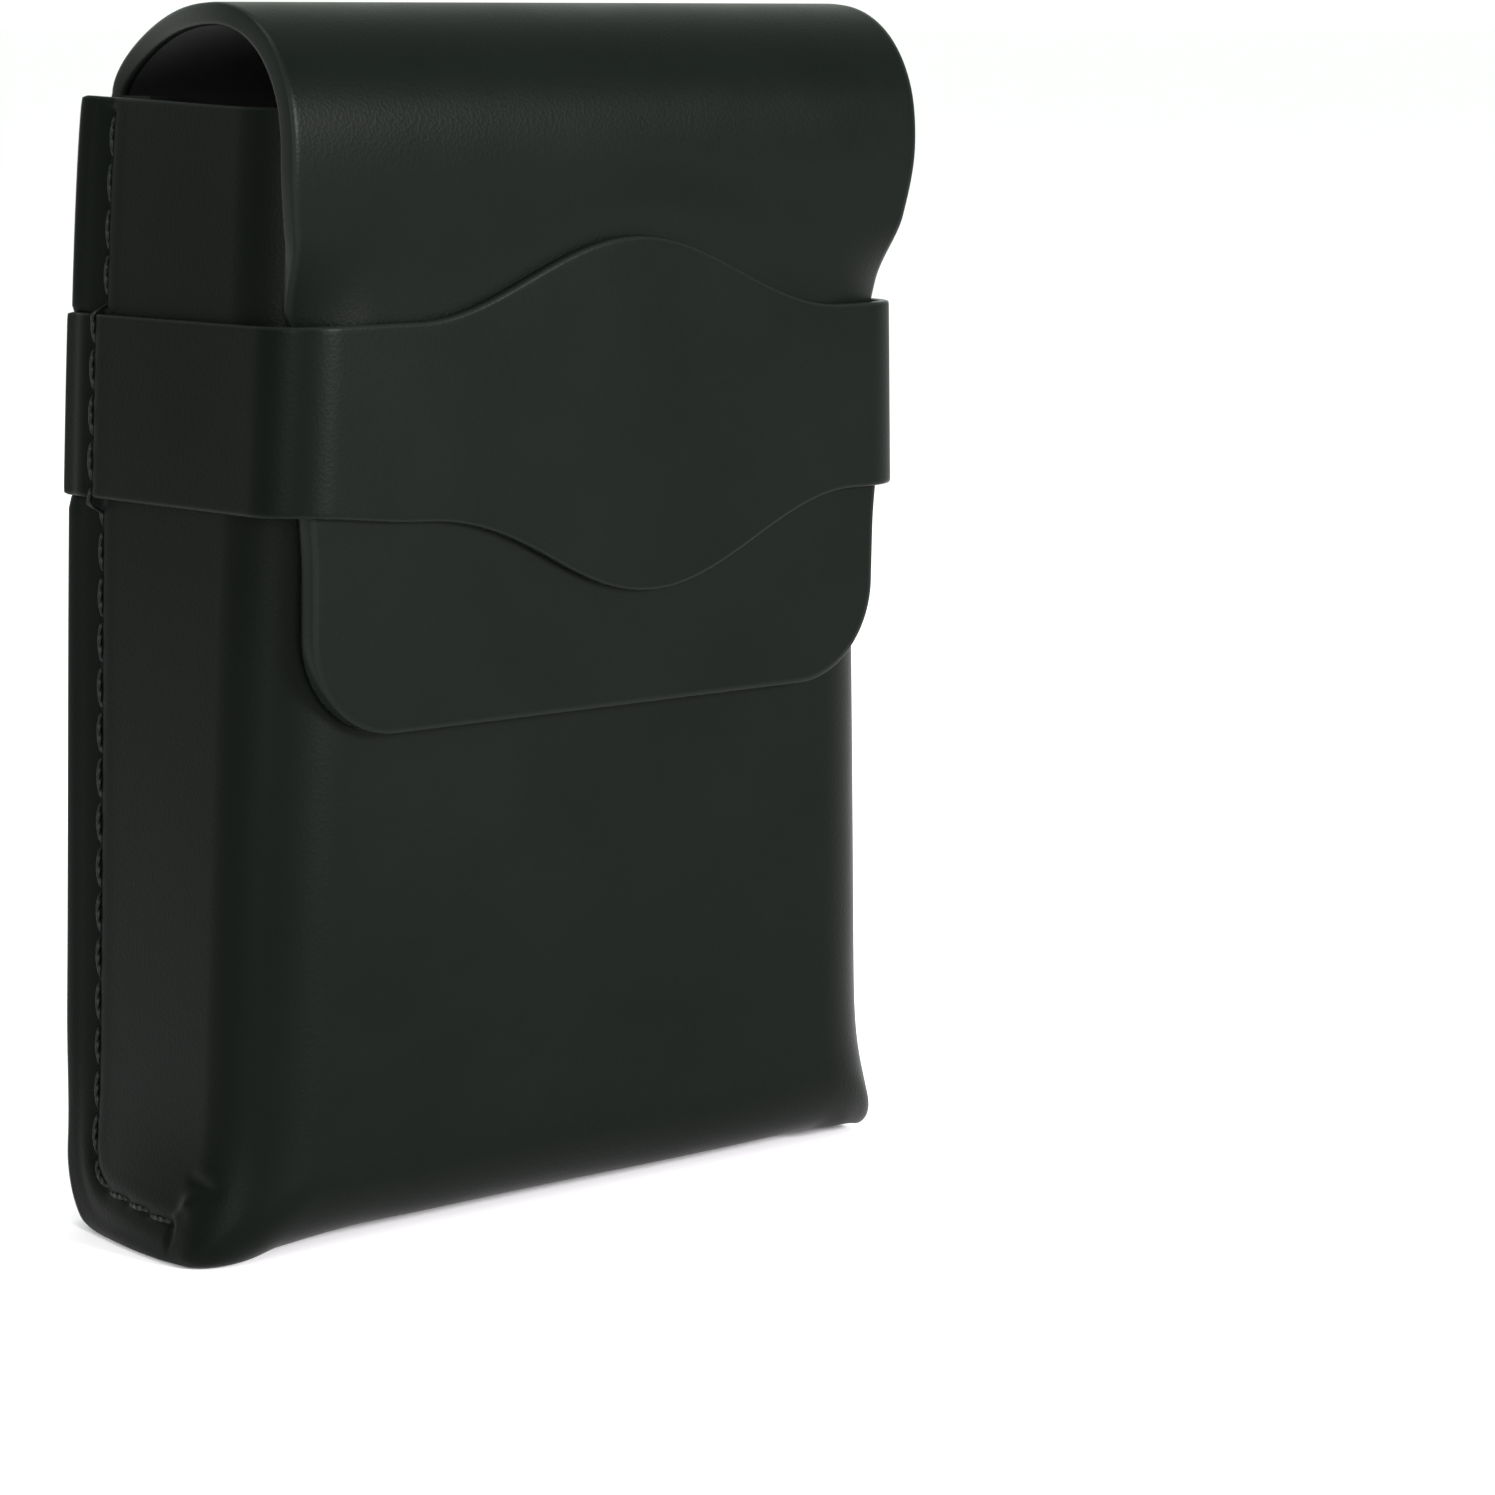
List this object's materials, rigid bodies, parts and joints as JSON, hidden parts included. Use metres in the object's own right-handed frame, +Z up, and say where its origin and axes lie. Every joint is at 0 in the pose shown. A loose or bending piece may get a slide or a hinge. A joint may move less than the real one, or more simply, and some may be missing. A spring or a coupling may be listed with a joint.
{
  "type": "card deck case",
  "caption": "Upright moulded leather case for a deck of cards, with an arched front flap tucked under a wave-shaped band.",
  "frame": {"origin": "on the floor under the middle of the whole case's box", "axes": "+Z up, -Y towards the front face that the flap closes over, +X to the right side wall"},
  "size_m": [0.095, 0.0406, 0.1334],
  "materials": {
    "case_leather": "satin, vegetable-tanned, wet-moulded",
    "band_leather": "satin, thinner split",
    "inner_leather": "matte flesh side",
    "seam_thread": "waxed"
  },
  "bodies": {
    "case": {"front_shell": "case_leather", "back_panel": "case_leather", "bottom_panel": "case_leather", "left_seam_welt": "inner_leather", "right_seam_welt": "inner_leather", "left_seam_thread": "seam_thread", "right_seam_thread": "seam_thread", "band": "band_leather"},
    "roof": {"flap_roof": "case_leather"},
    "tongue": {"flap_front": "case_leather"}
  },
  "joints": [
    {"name": "flap_hinge", "type": "hinge", "parent": "case", "child": "roof", "pos_m": [0, 0.02033, 0.1235], "axis": [-1, 0, 0], "range_deg": [0, 85], "deforming": ["band"]},
    {"name": "flap_bend", "type": "hinge", "parent": "roof", "child": "tongue", "pos_m": [0, -0.02033, 0.11741], "axis": [-1, 0, 0], "range_deg": [0, 85]}
  ],
  "couplings": [
    {"joint": "flap_bend", "follows": "flap_hinge", "ratio": 1}
  ]
}
